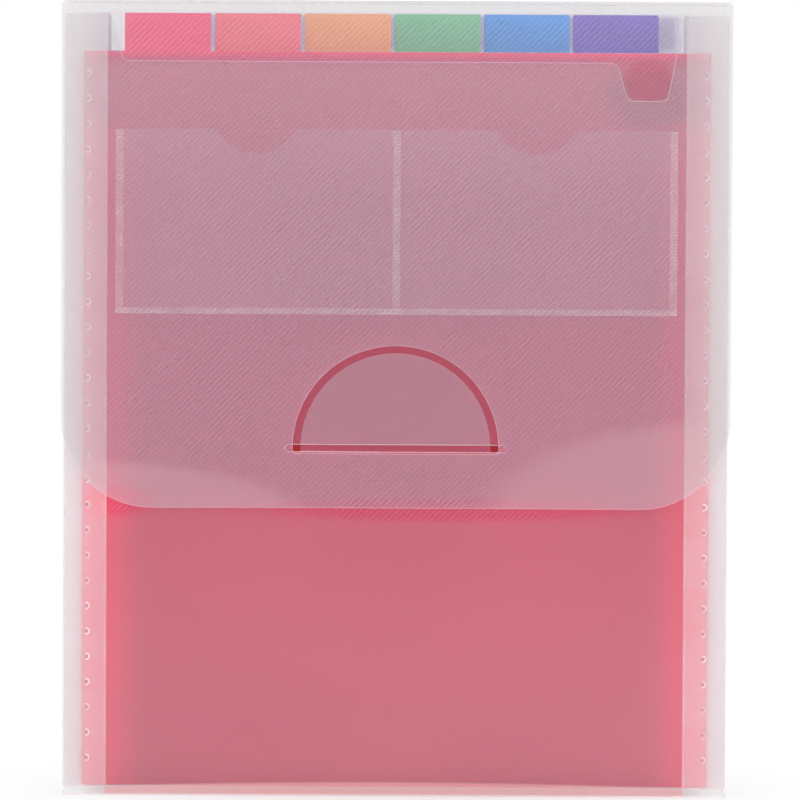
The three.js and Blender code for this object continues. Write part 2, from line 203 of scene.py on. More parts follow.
class FolderColours(bpy.types.PropertyGroup):
    """Colours and opacities of the sheets and films."""

    # Painted light and shade: case and veil are the lit and the shaded tone of one frosted sheet, paler
    # where light comes through from behind it, darker over the stack.
    case: colour("Case", "Case sheet with light behind it", (0.8, 0.785, 0.8))
    veil: colour("Case veil", "Case sheet over the dark stack", (0.44, 0.43, 0.46))
    foot: colour("Foot", "Glowing foot of the front panel", (0.74, 0.37, 0.38))
    # Painted light and shade: the flap has a lit tone and a shaded tone of one sheet, and a painted lighter
    # tone where light comes through from behind, at its lifted corners and towards its top.
    flap: colour("Flap", "Flap with light behind it", (0.57, 0.54, 0.56))
    flap_veil: colour("Flap veil", "Flap over the dark stack", (0.355, 0.306, 0.402))
    flap_backlit: colour("Lifted flap", "Flap where its corners stand off", (0.575, 0.51, 0.585))
    hatch: colour("Hatch", "Embossed lines of the flap and the tongue", (0.9, 0.86, 0.9))
    edge: colour("Cut edge", "Cut edges of the frosted sheets", (0.86, 0.83, 0.86))
    lip: colour("Lip", "Whitened lip along the punched edges", (0.9, 0.83, 0.86))
    crease: colour("Crease", "Folded creases of the case", (0.64, 0.62, 0.64))
    card: colour("Card film", "Clear film of the card pockets", (0.66, 0.83, 0.88))
    card_edge: colour("Card film edge", "Cut edge of the card pocket film", (0.92, 0.88, 0.92))
    # Painted reflection of the red divider: the gusset film is pink beside the dividers and grey at its
    # outer fold.
    gusset: colour("Gusset", "Gusset film beside the dividers", (0.86, 0.7, 0.74))
    gusset_fold: colour("Gusset fold", "Gusset film at the outer fold", (0.83, 0.8, 0.81))
    weld: colour("Weld", "Pressed welds", (0.9, 0.8, 0.84))
    # Painted shade in a weld dot's hollow.
    pit: colour("Weld pit", "Hollow inside a weld dot", (0.5, 0.2, 0.28))
    tab_shade: colour("Tab shade", "Shade of the tabs on the back panel", (0.42, 0.39, 0.58))
    # Painted shade on the first divider: a darker red in the narrow gap around the tongue and a deeper one
    # at the slit's ends.
    gap: colour("Gap", "First divider behind the tongue's gap", (0.42, 0.025, 0.07))
    slit_end_shade: colour("Slit end", "First divider behind the slit's ends", (0.36, 0.004, 0.012))
    red: colour("Red divider", "First divider", (1.0, 0.05, 0.14))
    coral: colour("Coral divider", "Second divider", (1.0, 0.15, 0.17))
    orange: colour("Orange divider", "Third divider", (0.98, 0.4, 0.12))
    green: colour("Green divider", "Fourth divider", (0.15, 0.6, 0.28))
    blue: colour("Blue divider", "Fifth divider", (0.01, 0.35, 0.92))
    purple: colour("Purple divider", "Sixth divider", (0.17, 0.11, 0.62))
    # Painted shade: inside the stack a divider is darkened by this tint; it keeps its lit colour in the tab
    # and beside the folds.
    depth: colour("Stack depth", "Tint of a divider inside the stack", (0.64, 0.95, 0.84))
    case_alpha: share("Case opacity", "Opacity of one face of the case", 0.13)
    flap_alpha: share("Flap opacity", "Opacity of one face of the flap", 0.2)
    gusset_alpha: share("Gusset opacity", "Opacity of one face of the gusset film", 0.26)
    card_alpha: share("Card film opacity", "Opacity of one face of the card film", 0.05)


def sizes():
    return bpy.context.scene.folder_sizes


def colours():
    return bpy.context.scene.folder_colours


def paint(name):
    return tuple(getattr(colours(), name))


def tint(values, factor):
    return tuple(min(1.0, value * factor) for value in values)


def once(kept):
    """Builds a node group or material once, and finds it by its name after that."""
    def wrap(build):
        def find(name, *values, **options):
            return getattr(bpy.data, kept).get(name) or build(name, *values, **options)
        return find
    return wrap


class NodeTree:
    """Adds and links shader nodes by short calls."""

    def __init__(self, tree):
        self.tree = tree

    def feed(self, socket, value):
        """Links a socket to another, or gives it a plain value."""
        if isinstance(value, bpy.types.NodeSocket):
            self.tree.links.new(value, socket)
        else:
            socket.default_value = value

    def add(self, kind, values=None, **settings):
        node = self.tree.nodes.new(kind)
        for key, value in settings.items():
            setattr(node, key, value)
        for key, value in (values or {}).items():
            self.feed(node.inputs[key], value)
        return node

    def group(self, tree, values):
        return self.add("ShaderNodeGroup", values, node_tree=tree).outputs

    def place(self):
        """The x, y and z of a point in the frame that all the pieces share."""
        coordinates = self.add("ShaderNodeTexCoord").outputs["Object"]
        return self.add("ShaderNodeSeparateXYZ", {0: coordinates}).outputs

    def math(self, operation, *values, clamp=False):
        node = self.add("ShaderNodeMath", dict(enumerate(values)), operation=operation, use_clamp=clamp)
        return node.outputs[0]

    def product(self, first, *others):
        for other in others:
            first = self.math("MULTIPLY", first, other)
        return first

    def square(self, value):
        return self.math("POWER", self.math("ABSOLUTE", value), 2.0)

    def changed(self, value, mask, change):
        """A value times 1 + change where the mask is full."""
        return self.math("MULTIPLY", value, self.math("MULTIPLY_ADD", mask, change, 1.0))

    def ramp(self, value, low, high, to_low=0.0, to_high=1.0):
        return self.add(
            "ShaderNodeMapRange",
            {"Value": value, "From Min": low, "From Max": high, "To Min": to_low, "To Max": to_high},
            interpolation_type="SMOOTHSTEP",
        ).outputs[0]

    def fall(self, value, low, high):
        return self.ramp(value, low, high, 1.0, 0.0)

    def mix(self, factor, first, second):
        node = self.add("ShaderNodeMix", {0: factor}, data_type="RGBA")
        for index, value in ((MIX_FIRST, first), (MIX_SECOND, second)):
            self.feed(node.inputs[index], value if isinstance(value, bpy.types.NodeSocket) else (*value, 1))
        return node.outputs[MIX_RESULT]


def new_group(name, inputs, outputs):
    tree = bpy.data.node_groups.new(name, "ShaderNodeTree")
    for socket, default in inputs.items():
        entry = tree.interface.new_socket(socket, in_out="INPUT", socket_type="NodeSocketFloat")
        entry.default_value = default
    for socket in outputs:
        tree.interface.new_socket(socket, in_out="OUTPUT", socket_type="NodeSocketFloat")
    nodes = NodeTree(tree)
    return tree, nodes, nodes.add("NodeGroupInput").outputs, nodes.add("NodeGroupOutput").inputs


@once("node_groups")
def frost_group(name):
    """Grain of a frosted film: broad mottling and a fine tooth."""
    inputs = {"Mottle scale": 14, "Tooth scale": 1400}
    tree, nodes, given, result = new_group(name, inputs, ("Mottle", "Tooth"))
    place = nodes.add("ShaderNodeTexCoord").outputs["Object"]
    broad = {"Vector": place, "Scale": given["Mottle scale"], "Detail": 1.0, "Roughness": 0.55}
    fine = {"Vector": place, "Scale": given["Tooth scale"], "Detail": 0.0}
    nodes.feed(result["Mottle"], nodes.add("ShaderNodeTexNoise", broad).outputs[0])
    nodes.feed(result["Tooth"], nodes.add("ShaderNodeTexNoise", fine).outputs[0])
    return tree


@once("node_groups")
def hatch_group(name):
    """Diagonal embossed lines that rise to the right across a standing sheet."""
    line_foot = 0.3
    tree, nodes, given, result = new_group(name, {"Pitch": 0.0024}, ("Lines",))
    x, _, z = nodes.place()
    across = nodes.math("DIVIDE", nodes.math("SUBTRACT", x, z), given["Pitch"])
    wave = nodes.math("SINE", nodes.product(across, math.tau))
    nodes.feed(result["Lines"], nodes.ramp(nodes.math("MULTIPLY_ADD", wave, 0.5, 0.5), line_foot, 1.0))
    return tree


@once("node_groups")
def patch_group(name):
    """A soft-edged oval patch on a standing sheet."""
    tree, nodes, given, result = new_group(name, oval(0, 0, 0.1, 0.02, 0.2), ("Mask",))
    x, _, z = nodes.place()
    squares = []
    for part, axis in ((x, "X"), (z, "Z")):
        away = nodes.math("SUBTRACT", part, given[f"Centre {axis}"])
        squares.append(nodes.square(nodes.math("DIVIDE", away, given[f"Reach {axis}"])))
    distance = nodes.math("SQRT", nodes.math("ADD", *squares))
    inner = nodes.math("SUBTRACT", 1.0, given["Softness"])
    outer = nodes.math("ADD", 1.0, given["Softness"])
    nodes.feed(result["Mask"], nodes.fall(distance, inner, outer))
    return tree


@once("node_groups")
def ring_group(name):
    """The half-moon gap around the tongue, with the slit at its foot, on a standing sheet."""
    soft = HALF_MOON_SOFT
    tree, nodes, given, result = new_group(name, HALF_MOON, ("Gap", "Ends"))
    x, _, z = nodes.place()
    up = nodes.math("SUBTRACT", z, given["Foot"])
    radius = nodes.math("SQRT", nodes.math("ADD", nodes.square(x), nodes.square(up)))
    past_inner = nodes.ramp(radius, nodes.math("SUBTRACT", given["Inner"], soft), given["Inner"])
    to_outer = nodes.fall(radius, given["Outer"], nodes.math("ADD", given["Outer"], soft))
    ring = nodes.product(past_inner, to_outer, nodes.ramp(up, -soft, 0.0))
    level = nodes.math("ABSOLUTE", up)
    slit = nodes.product(nodes.fall(level, given["Slit"], nodes.math("ADD", given["Slit"], soft)), to_outer)
    nodes.feed(result["Gap"], nodes.math("MAXIMUM", ring, slit))
    nodes.feed(result["Ends"], nodes.product(slit, past_inner))
    return tree


class Film(NodeTree):
    """A film's new material, with the grain and the masks that the films share."""

    def __init__(self, name, mottle_scale, tooth_scale):
        self.material = bpy.data.materials.new(name)
        self.material.use_nodes = True
        super().__init__(self.material.node_tree)
        scales = {"Mottle scale": mottle_scale, "Tooth scale": tooth_scale}
        self.grain = self.group(frost_group("Frost grain"), scales)

    def mottled(self, base, dark, light):
        """A colour that drifts between a darker and a lighter tint of itself."""
        return self.mix(self.ramp(self.grain["Mottle"], *NOISE), tint(base, dark), tint(base, light))

    def lines(self):
        return self.group(hatch_group("Diagonal hatch"), {"Pitch": sizes().hatch_pitch})["Lines"]

    def patch(self, zone):
        return self.group(patch_group("Soft patch"), zone)["Mask"]

    def patches(self, zones):
        return self.math("ADD", *(self.patch(zone) for zone in zones), clamp=True)

    def half_moon(self):
        return self.group(ring_group("Half-moon gap"), HALF_MOON)

    def off_stack(self, sideways):
        """Mask of the side margins, where no dyed sheet lies close behind and the sheets take their painted
        lit tone.
        """
        step = self.ramp(sideways, *MARGIN_STEP, 0.0, 0.5)
        return self.math("ADD", step, self.ramp(sideways, *MARGIN_SLOPE, 0.0, 0.5))

    def finish(self, tone, alpha, rough, bump=None):
        """Feeds the shader and gives the material."""
        inputs = self.tree.nodes["Principled BSDF"].inputs
        shadow = self.add("ShaderNodeLightPath").outputs["Is Shadow Ray"]
        self.feed(inputs["Base Color"], tone)
        self.feed(inputs["Alpha"], self.changed(alpha, shadow, SHADOW_CHANGE))
        self.feed(inputs["Roughness"], self.ramp(self.grain["Tooth"], *NOISE, *rough))
        if bump:
            height, distance, strength = bump
            values = {"Height": height, "Distance": distance, "Strength": strength}
            self.feed(inputs["Normal"], self.add("ShaderNodeBump", values).outputs[0])
        inputs["IOR"].default_value = PLASTIC_IOR
        return self.material


@once("materials")
def frosted_material(name, base, opacity, rough, hatch=0.0):
    """Frosted sheet: mottled veil, fine tooth and, where asked for, a faint hatch."""
    film = Film(name, 11.0, 1500.0)
    bump = None
    if hatch:
        lines = film.lines()
        opacity = film.product(opacity, film.ramp(lines, 0.0, 1.0, 1.0 - hatch, 1.0 + hatch))
        bump = (lines, 0.02 * MM, 0.4)
    return film.finish(film.mottled(base, 0.93, 1.05), opacity, rough, bump)


def front_material():
    """The front panel's sheet: veils the stack, a little more thickly beside the folds, and glows at its
    foot with painted light; painted shade darkens it under the flap's edge, over the half-moon gap and in a
    contact shadow.
    """
    near_fold_change, ear_change, gap_change = 0.12, -0.5, -0.6
    pressed_shadow_change, hatch_change = -0.8, -0.6
    low_change, glow_opacity = 1.16, 0.36
    shade_share, shade_tint = 0.7, 0.7
    film = Film("front panel sheet", 9.0, 1500.0)
    veil, opacity = paint("veil"), colours().case_alpha
    x, _, z = film.place()
    sideways = film.math("ABSOLUTE", x)
    margin = film.off_stack(sideways)
    inside = film.math("SUBTRACT", 1.0, margin)
    near_folds = film.product(film.ramp(sideways, *NEAR_FOLD_SPAN), inside)
    ear = film.product(film.ramp(sideways, *EAR_SPAN), film.ramp(z, *EAR_RISE))
    arch = film.math("POWER", film.math("DIVIDE", sideways, INNER_FOLD_X), 2.0)
    foot = film.math("MULTIPLY_ADD", arch, FOOT_ARCH, z)
    glow = film.product(film.fall(foot, FOOT_MIDDLE - FOOT_SOFT, FOOT_MIDDLE), inside)
    pressed = film.changed(film.patches(PRESSED_SHADOW_ZONES), film.lines(), hatch_change)
    # Painted light and shade: the shaded veil tone darkens further towards the flap's free edge, the side
    # margins take the lit case tone and the foot a painted glow.
    tone = film.mottled(veil, 0.97, 1.04)
    tone = film.mix(film.ramp(z, *FLAP_SHADE_RISE, 0.0, shade_share), tone, tint(veil, shade_tint))
    tone = film.mix(margin, tone, paint("case"))
    tone = film.mix(glow, tone, paint("foot"))
    alpha = film.ramp(z, *LOW_VEIL_RISE, opacity * low_change, opacity)
    alpha = film.changed(alpha, near_folds, near_fold_change)
    alpha = film.changed(alpha, ear, ear_change)
    # Painted shade: the veil thins over the half-moon gap and, striped by the hatch lines, in the contact
    # shadow below the flap's free edge.
    alpha = film.changed(alpha, film.half_moon()["Gap"], gap_change)
    alpha = film.changed(alpha, pressed, pressed_shadow_change)
    alpha = film.math("MULTIPLY_ADD", glow, glow_opacity, alpha)
    return film.finish(tone, alpha, SHEET_ROUGH)


def flap_material():
    """The flap's sheet: straight diagonal hatch that fades where the lower corners stand off the panel, with
    painted light that makes it paler there, towards the top and at the side margins.
    """
    hatch_tone, hatch_opacity, plain_opacity, margin_fade = 0.2, 0.13, 0.965, -0.7
    upper_light_share, above_tint = 0.42, 0.74
    low_veil, high_veil = 0.96, 1.03
    margin_change, notch_change = 0.4, -0.35
    film = Film("hatched flap sheet", 9.0, 1500.0)
    pale, lifted = paint("flap"), paint("flap_backlit")
    x, _, z = film.place()
    margin = film.off_stack(film.math("ABSOLUTE", x))
    smooth_and_lit = film.patches(LIFTED_ZONES)
    upper_light = film.product(film.ramp(z, *UPPER_LIGHT_RISE, 0.0, upper_light_share), film.fall(z, *UPPER_LIGHT_END))
    # Painted light and shade: a shaded tone over the stack, a painted lighter tone towards the top and at
    # the lifted corners, a dimmer lit tone above the tabs and the lit tone at the margins.
    tone = film.mottled(paint("flap_veil"), 0.97, 1.04)
    tone = film.mix(upper_light, tone, lifted)
    tone = film.mix(smooth_and_lit, tone, lifted)
    tone = film.mix(film.ramp(z, *ABOVE_TABS), tone, tint(pale, above_tint))
    tone = film.mix(margin, tone, pale)
    drawn = film.product(film.lines(), film.math("SUBTRACT", 1.0, smooth_and_lit))
    drawn = film.changed(drawn, margin, margin_fade)
    tone = film.mix(film.product(drawn, hatch_tone), tone, paint("hatch"))
    alpha = film.math("MULTIPLY_ADD", drawn, hatch_opacity, plain_opacity)
    alpha = film.product(alpha, colours().flap_alpha, film.ramp(z, *FLAP_VEIL_RISE, low_veil, high_veil))
    alpha = film.changed(alpha, margin, margin_change)
    alpha = film.changed(alpha, film.patch(NOTCH_OPENING), notch_change)
    return film.finish(tone, alpha, SHEET_ROUGH, (drawn, 0.06 * MM, 0.5))


def tongue_material(bend_high):
    """The tongue's sheet: hatched like the flap, and stretched clear where it bends through the slit."""
    hatch_tone, bend_opacity, bend_soft = 0.2, 0.3, 1.2 * MM
    film = Film("tongue sheet", 9.0, 1500.0)
    _, _, z = film.place()
    lines = film.lines()
    tone = film.mottled(paint("flap_veil"), 0.97, 1.04)
    tone = film.mix(film.product(lines, hatch_tone), tone, paint("hatch"))
    flat = film.ramp(z, bend_high, bend_high + bend_soft, bend_opacity, 1.0)
    alpha = film.product(flat, colours().flap_alpha)
    return film.finish(tone, alpha, SHEET_ROUGH, (lines, 0.02 * MM, 0.4))


@once("materials")
def edge_material(name, base, opacity):
    """A cut edge: paler and denser than the face, with a fine tooth."""
    film = Film(name, 40.0, 2600.0)
    tooth = film.grain["Tooth"]
    tone = film.mix(tooth, tint(base, 0.9), tint(base, 1.06))
    alpha = film.ramp(film.grain["Mottle"], *NOISE, opacity * 0.85, opacity)
    return film.finish(tone, alpha, EDGE_ROUGH, (tooth, 0.01 * MM, 0.4))


def divider_material(name, base, behind_slit):
    """Dyed translucent sheet with painted light and shade: bright in the tab and beside the folds, where
    light comes through, and a deeper shaded tone where the stack lies behind it.
    """
    beside_share, notch_share, notch_tint, gap_share = 0.75, 0.8, 0.6, 0.75
    side_opacity = 0.05
    film = Film(name, 7.0, 1200.0)
    x, _, z = film.place()
    sideways = film.math("ABSOLUTE", x)
    beside = film.product(film.ramp(sideways, *BESIDE_SPAN, 0.0, beside_share), film.fall(z, *BESIDE_END))
    bright = film.math("MAXIMUM", film.ramp(z, *IN_TAB), beside)
    shaded_tone = tuple(value * dim for value, dim in zip(base, paint("depth")))
    tone = film.mix(bright, film.mottled(shaded_tone, 0.95, 1.05), base)
    if behind_slit:
        # Painted shade on the first divider: behind the thumb notch, in the gap around the tongue and at the
        # slit's ends.
        notch = film.product(film.patch(NOTCH_SHADE), notch_share)
        tone = film.mix(notch, tone, tint(shaded_tone, notch_tint))
        masks = film.half_moon()
        tone = film.mix(film.product(masks["Gap"], gap_share), tone, paint("gap"))
        tone = film.mix(masks["Ends"], tone, paint("slit_end_shade"))
    return film.finish(tone, film.ramp(sideways, *DIVIDER_EDGE, 1.0, side_opacity), DIVIDER_ROUGH)


def gusset_material():
    """Film of the gussets: a painted pink reflection of the red divider, greyer towards the outer fold and
    at the ears, with a paler inner fold.
    """
    crest_opacity = 0.14
    film = Film("gusset film", 11.0, 1500.0)
    x, _, z = film.place()
    sideways = film.math("ABSOLUTE", x)
    outer = film.math("MAXIMUM", film.ramp(sideways, *GUSSET_SPAN), film.ramp(z, *GUSSET_RISE))
    tone = film.mix(outer, film.mottled(paint("gusset"), 0.96, 1.04), paint("gusset_fold"))
    crest = film.ramp(sideways, *GUSSET_CREST, crest_opacity, 0.0)
    return film.finish(tone, film.math("ADD", crest, colours().gusset_alpha), GUSSET_ROUGH)


@once("materials")
def weld_material(name, base, opacity):
    """Pressed weld: whitened film with darker hollows."""
    film = Film(name, 120.0, 2200.0)
    mottle = film.grain["Mottle"]
    tone = film.mix(film.ramp(mottle, *WELD_NOISE), tint(base, 0.86), tint(base, 1.04))
    return film.finish(tone, film.ramp(mottle, *NOISE, opacity * 0.75, opacity * 1.25), WELD_ROUGH)


def back_material():
    """The back panel's sheet: frosted, with the lilac shade that the tabs throw on it."""
    shade_opacity = 0.42
    film = Film("back panel sheet", 11.0, 1500.0)
    x, _, z = film.place()
    across = film.product(film.ramp(x, *TAB_SHADE_LEFT), film.fall(x, *TAB_SHADE_RIGHT))
    up = film.product(film.ramp(z, *TAB_SHADE_FOOT), film.fall(z, *TAB_SHADE_TOP))
    shade = film.product(across, up)
    tone = film.mix(shade, film.mottled(paint("case"), 0.93, 1.05), paint("tab_shade"))
    alpha = film.math("MULTIPLY_ADD", shade, shade_opacity, colours().case_alpha)
    return film.finish(tone, alpha, SHEET_ROUGH)


def bar_weld():
    return weld_material("pressed weld", paint("weld"), 0.06)


def case_edge():
    return edge_material("case cut edge", paint("edge"), 0.5)


def case_sheet():
    opacity = colours().case_alpha
    return frosted_material("frosted case sheet", paint("case"), opacity, SHEET_ROUGH, hatch=0.06)


def link_object(name, mesh, materials):
    item = bpy.data.objects.new(name, mesh)
    bpy.context.scene.collection.objects.link(item)
    for material in materials:
        mesh.materials.append(material)
    return item


def new_mesh(bm, name):
    """Turns a form's faces outwards and keeps it as a mesh."""
    bmesh.ops.recalc_face_normals(bm, faces=bm.faces[:])
    mesh = bpy.data.meshes.new(name)
    bm.to_mesh(mesh)
    bm.free()
    return mesh


def smooth_faces(mesh, angle):
    mesh.polygons.foreach_set("use_smooth", [True] * len(mesh.polygons))
    mesh.set_sharp_from_angle(angle=math.radians(angle))


def modify(item, kind, **settings):
    modifier = item.modifiers.new(kind.lower(), kind)
    for key, value in settings.items():
        setattr(modifier, key, value)


def bake(item):
    """Applies an object's modifiers to its mesh."""
    bpy.context.view_layer.update()
    shaped = item.evaluated_get(bpy.context.evaluated_depsgraph_get())
    mesh = bpy.data.meshes.new_from_object(shaped)
    item.modifiers.clear()
    item.data = mesh
    smooth_faces(mesh, 35)
    return item


def standing(y):
    """Places an outline of x and height in an upright plane."""
    return lambda u, v: Vector((u, y, v))


def lying(z):
    """Places an outline of x and depth in a level plane."""
    return lambda u, v: Vector((u, v, z))


def cut_cells(bm, cell):
    """Cuts a flat outline into cells, so that it can bend."""
    for axis in range(2):
        values = [vert.co[axis] for vert in bm.verts]
        start = min(values)
        span = max(values) - start
        count = max(1, round(span / cell))
        normal = Vector((axis == 0, axis == 1, 0))
        for number in range(1, count):
            bmesh.ops.bisect_plane(
                bm,
                geom=bm.verts[:] + bm.edges[:] + bm.faces[:],
                dist=1e-7,
                plane_co=normal * (start + span / count * number),
                plane_no=normal,
            )


def make_sheet(name, loops, place, thickness, materials, cell, shape=None, lip=0.0):
    """A closed sheet from an outline and its holes: lipped, cut into cells, bent, thickened and rounded."""
    bm = bmesh.new()
    for loop in loops:
        corners = [bm.verts.new((u, v, 0)) for u, v in loop]
        for here, after in zip(corners, corners[1:] + corners[:1]):
            bm.edges.new((here, after))
    bmesh.ops.triangle_fill(bm, use_beauty=True, use_dissolve=False, edges=bm.edges[:], normal=(0, 0, 1))
    if not bm.faces:
        raise RuntimeError(f"{name}: the outline did not fill")
    if lip:
        settings = {"thickness": lip, "use_boundary": True, "use_even_offset": True}
        for face in bmesh.ops.inset_region(bm, faces=bm.faces[:], **settings)["faces"]:
            face.material_index = 1
    cut_cells(bm, cell)
    for vert in bm.verts:
        vert.co = place(vert.co.x, vert.co.y) + (shape(vert.co.x, vert.co.y) if shape else Vector())
    item = link_object(name, new_mesh(bm, name), materials)
    modify(item, "SOLIDIFY", thickness=thickness, offset=0, material_offset_rim=1)
    edge = {"width": sizes().edge_round, "segments": 2, "material": 1}
    modify(item, "BEVEL", limit_method="ANGLE", angle_limit=math.radians(60), **edge)
    return bake(item)


def rounded(corners, steps=6):
    """Outline points through corners of (u, v, radius), each rounded."""
    points = []
    count = len(corners)
    for index, (u, v, radius) in enumerate(corners):
        corner = Vector((u, v))
        if not radius:
            points.append((u, v))
            continue
        before = (Vector(corners[index - 1][:2]) - corner).normalized()
        after = (Vector(corners[(index + 1) % count][:2]) - corner).normalized()
        reach = radius / math.tan(before.angle(after) / 2)
        start, end = corner + before * reach, corner + after * reach
        for step in range(steps + 1):
            t = step / steps
            point = start * (1 - t) ** 2 + corner * 2 * t * (1 - t) + end * t * t
            points.append((point.x, point.y))
    return points


def arc(centre_u, centre_v, radius, first, last, steps):
    """Outline points along an arc, from the first angle to the last in degrees."""
    angles = [math.radians(first + (last - first) * i / steps) for i in range(steps + 1)]
    return [(centre_u + radius * math.cos(turn), centre_v + radius * math.sin(turn)) for turn in angles]


def place_on(item, body, slot, *nodes):
    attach(item, body)
    if nodes:
        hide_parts(*nodes)


def across_path(start, end):
    """The unit direction square to a stretch of a plan path."""
    along = (end - start).normalized()
    return Vector((-along.y, along.x))


def film_strip(name, path, thickness, low, high, cuts, materials):
    """A film that follows a plan path and stands from low to high, mitred at its bends."""
    points = [Vector(point) for point in path]
    squares = [across_path(start, end) for start, end in zip(points, points[1:])]
    offsets = []
    for before, after in zip(squares[:1] + squares, squares + squares[-1:]):
        mitre = (before + after).normalized()
        offsets.append(mitre * (thickness / 2 / mitre.dot(before)))
    ring = [point - offset for point, offset in zip(points, offsets)]
    ring += [point + offset for point, offset in zip(reversed(points), reversed(offsets))]
    bm = bmesh.new()
    levels = [low + (high - low) * i / cuts for i in range(cuts + 1)]
    rows = [[bm.verts.new((p.x, p.y, z)) for p in ring] for z in levels]
    count, last = len(ring), len(points)
    edge = len(materials) - 1
    for row, above in zip(rows, rows[1:]):
        for i in range(count):
            j = (i + 1) % count
            face = bm.faces.new((row[i], row[j], above[j], above[i]))
            face.material_index = edge if i in (last - 1, count - 1) else 0
    for row in (rows[0], rows[-1]):
        for i in range(last - 1):
            face = bm.faces.new((row[i], row[i + 1], row[count - 2 - i], row[count - 1 - i]))
            face.material_index = edge
    mesh = new_mesh(bm, name)
    smooth_faces(mesh, 50)
    return link_object(name, mesh, materials)


def crease_strip(name, path, material):
    """The thin living hinge between two panels."""
    thin = SHEET * 0.72
    item = film_strip(name, path, thin, -HALF_WIDTH, HALF_WIDTH, 24, [material])
    item.data.transform(Matrix(((0, 0, 1, 0), (1, 0, 0, 0), (0, 1, 0, 0), (0, 0, 0, 1))))
    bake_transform(item)


class FOLDER_OT_case(bpy.types.Operator):
    """Build the back, bottom and top panels and the creases between them"""

    bl_idname = "folder.case"
    bl_label = "Case panels"

    def execute(self, context):
        bodies = {"back_panel": "case_back", "bottom_panel": "case_back", "top_panel": "case_top"}
        for node, body in bodies.items():
            low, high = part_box(node)
            if node == "back_panel":
                place, start, end = standing(BACK_Y), low.z, high.z
            else:
                place, start, end = lying((low.z + high.z) / 2), low.y, high.y
            if node == "bottom_panel":
                start += SHEET
            outline = [(low.x, start), (high.x, start), (high.x, end), (low.x, end)]
            sheet = back_material() if node == "back_panel" else case_sheet()
            item = make_sheet(f"{node}_sheet", [outline], place, SHEET, [sheet, case_edge()], BROAD_CELL)
            place_on(item, body, "case_sheet", node)
        material = edge_material("crease", paint("crease"), 0.3)
        land, near = mm(1.1, 0.3)
        y = BACK_Y
        path = [(y, TOP_Z - land), (y, TOP_Z - near), (y - near, TOP_Z), (y - land, TOP_Z)]
        crease_strip("top_back_crease", path, material)
        y = FLAP_CREASE_Y
        path = [(y + land, TOP_Z), (y + near, TOP_Z), (y, TOP_Z - near), (y, TOP_Z - land)]
        crease_strip("top_front_crease", path, material)
        return {"FINISHED"}


class FOLDER_OT_front(bpy.types.Operator):
    """Build the front panel with its ears, tab recess, thumb notch, slit and folded foot"""

    bl_idname = "folder.front"
    bl_label = "Front panel"

    def execute(self, context):
        low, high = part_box("front_panel")
        top = high.z
        fold_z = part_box("bottom_panel")[0].z + SHEET / 2
        outline = rounded([
            (low.x, fold_z, 0), (high.x, fold_z, 0), (high.x, top, EAR_ROUND), (EAR_X, top, EAR_ROUND),
            (NOTCH_RIGHT, NOTCH_Z, NOTCH_ROUND), (NOTCH_LEFT, NOTCH_Z, NOTCH_ROUND),
            (NOTCH_TOP, RECESS_Z, NOTCH_ROUND), (-RECESS_LEFT, RECESS_Z, EAR_ROUND),
            (-EAR_X, top, EAR_ROUND), (low.x, top, EAR_ROUND),
        ])
        reach = SLIT_HALF - SLIT_ROUND
        slit = arc(reach, SLIT_Z, SLIT_ROUND, -90, 90, 10) + arc(-reach, SLIT_Z, SLIT_ROUND, 90, 270, 10)
        materials = [front_material(), edge_material("punched lip", paint("lip"), 0.3)]
        place, lip = standing(FRONT_Y), sizes().lip
        item = make_sheet("front_panel_sheet", [outline, slit], place, SHEET, materials, BROAD_CELL, lip=lip)
        place_on(item, "case_front", "case_sheet", "front_panel")
        return {"FINISHED"}


